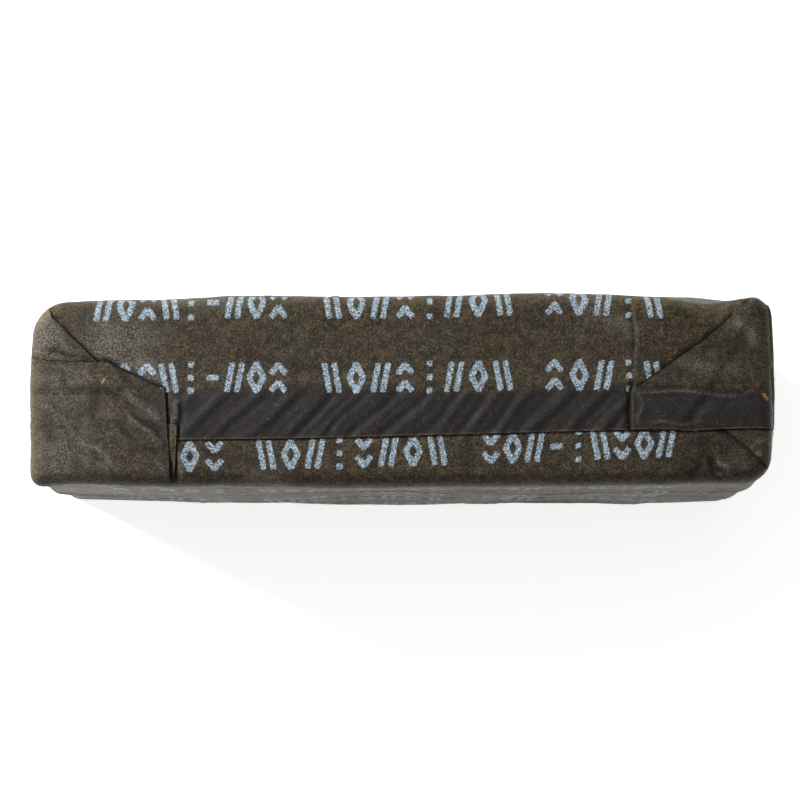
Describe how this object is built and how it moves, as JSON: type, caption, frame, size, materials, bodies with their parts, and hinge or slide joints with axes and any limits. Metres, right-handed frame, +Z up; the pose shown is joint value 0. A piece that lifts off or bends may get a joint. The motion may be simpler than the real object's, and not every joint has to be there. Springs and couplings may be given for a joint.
{
  "type": "field dressing packet",
  "caption": "Small oblong first-aid dressing sealed in dark waxed paper, with crowned sides and a folded closure of flaps and tucks.",
  "frame": {"origin": "middle of the narrow face that the packet rests on", "axes": "+X along the packet, +Y through its thickness to the back face, +Z up to the folded closure"},
  "size_m": [0.1058, 0.0285, 0.0606],
  "materials": {
    "waxed_paper": "dark olive-brown waxed paper, satin, printed",
    "tuck_paper": "dark olive-brown waxed paper, satin, worn"
  },
  "bodies": {
    "root": {"wrapped_pad": "waxed_paper", "front_flap": "waxed_paper", "back_flap": "waxed_paper", "left_tuck": "tuck_paper", "left_under_tuck": "tuck_paper", "left_corner_tuck": "tuck_paper", "right_tuck": "tuck_paper", "right_corner_tuck": "tuck_paper"}
  },
  "joints": []
}
